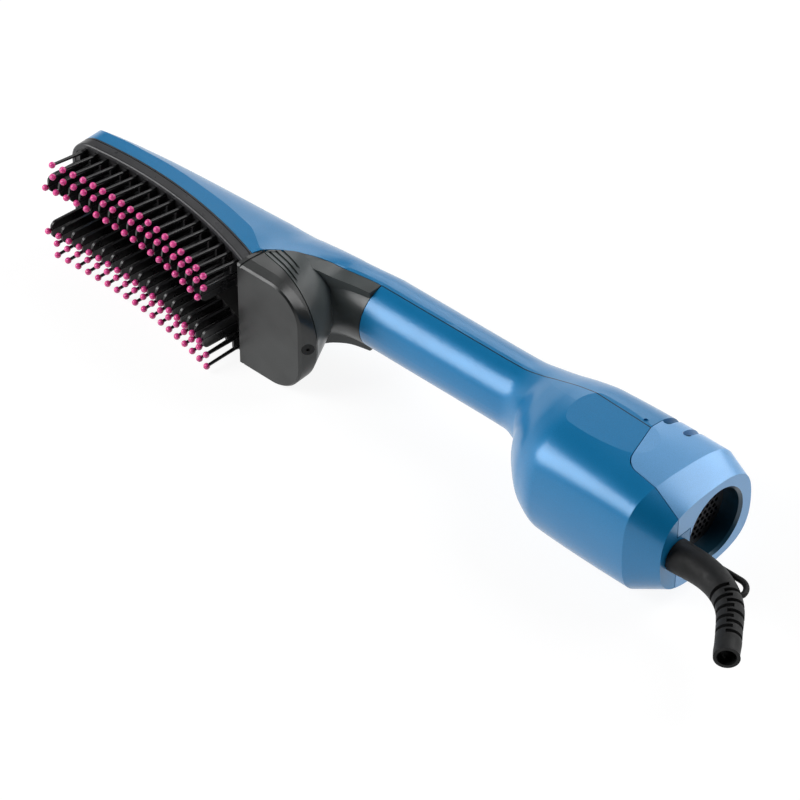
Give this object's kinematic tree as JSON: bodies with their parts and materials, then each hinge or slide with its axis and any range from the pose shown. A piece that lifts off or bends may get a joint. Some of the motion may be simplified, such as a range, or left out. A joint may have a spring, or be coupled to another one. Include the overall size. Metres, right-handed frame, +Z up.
{
  "type": "steam hair styling comb",
  "caption": "Hand-held hot-air steam styling comb: round neck, fat handle with blower, smoked water tank, and a long comb head with two banks of ball-tipped bristles.",
  "frame": {"origin": "middle of the flat on the handle's lower flank, which rests on the table", "axes": "+X from the comb's tip towards the cord, +Y from the bristles towards the back, +Z up, with the comb lying on its flank"},
  "size_m": [0.3401, 0.0712, 0.0472],
  "materials": {
    "blue_shell": "pearl gloss",
    "pale_blue_shell": "pearl gloss",
    "black_plastic": "fine satin",
    "pink_tips": "soft gloss",
    "smoked_plastic": "smoked, clear gloss",
    "black_rubber": "satin rubber",
    "dark_mesh": "blackened mesh",
    "aluminium": "rolled",
    "silicone": "matt",
    "mica": "flaky card",
    "steel": "zinc plated",
    "circuit_board": "lacquered board"
  },
  "bodies": {
    "comb_body": {"back_cover": "blue_shell", "front_housing": "blue_shell", "comb_frame": "black_plastic", "upper_bristle_bank": "black_plastic", "lower_bristle_bank": "black_plastic", "upper_bristle_tips": "pink_tips", "lower_bristle_tips": "pink_tips", "air_channel": "black_plastic", "steam_chamber": "aluminium", "steam_tube": "silicone", "air_duct": "black_plastic", "heater_sleeve": "aluminium", "heater_core": "mica", "fan_shroud": "black_plastic", "motor_body": "steel", "control_board": "circuit_board", "button_switch": "black_plastic", "slide_switch_body": "black_plastic", "strain_relief": "black_rubber", "cord_clamp": "black_plastic", "clamp_screws": "steel", "housing_screw": "steel", "screw_plug": "blue_shell"},
    "rotor": {"rotor_shaft": "steel", "fan": "black_plastic"},
    "tank": {"water_tank": "smoked_plastic", "tank_front_panel": "smoked_plastic", "tank_valve": "silicone"},
    "plug": {"filler_plug": "black_rubber"},
    "cap": {"rear_cap": "pale_blue_shell", "inlet_filter": "dark_mesh"},
    "selector": {"switch_knob": "black_plastic"},
    "button": {"steam_button": "black_plastic"}
  },
  "joints": [
    {"name": "fan_spin", "type": "hinge", "parent": "comb_body", "child": "rotor", "pos_m": [0.007, 0.002, 0.0236], "axis": [1, 0, 0], "continuous": true},
    {"name": "tank_release", "type": "slide", "parent": "comb_body", "child": "tank", "axis": [0, -1, 0], "range_m": [0, 0.045]},
    {"name": "plug_pull", "type": "slide", "parent": "tank", "child": "plug", "axis": [0.7962, -0.6051, 0], "range_m": [0, 0.01]},
    {"name": "cap_release", "type": "slide", "parent": "comb_body", "child": "cap", "axis": [1, 0, 0], "range_m": [0, 0.05]},
    {"name": "selector_slide", "type": "slide", "parent": "comb_body", "child": "selector", "axis": [1, 0, 0], "range_m": [-0.003, 0.003]},
    {"name": "button_press", "type": "slide", "parent": "comb_body", "child": "button", "axis": [0, -1, 0], "range_m": [0, 0.0014], "stiffness_N_per_m": 300, "springref_m": -0.0005}
  ]
}
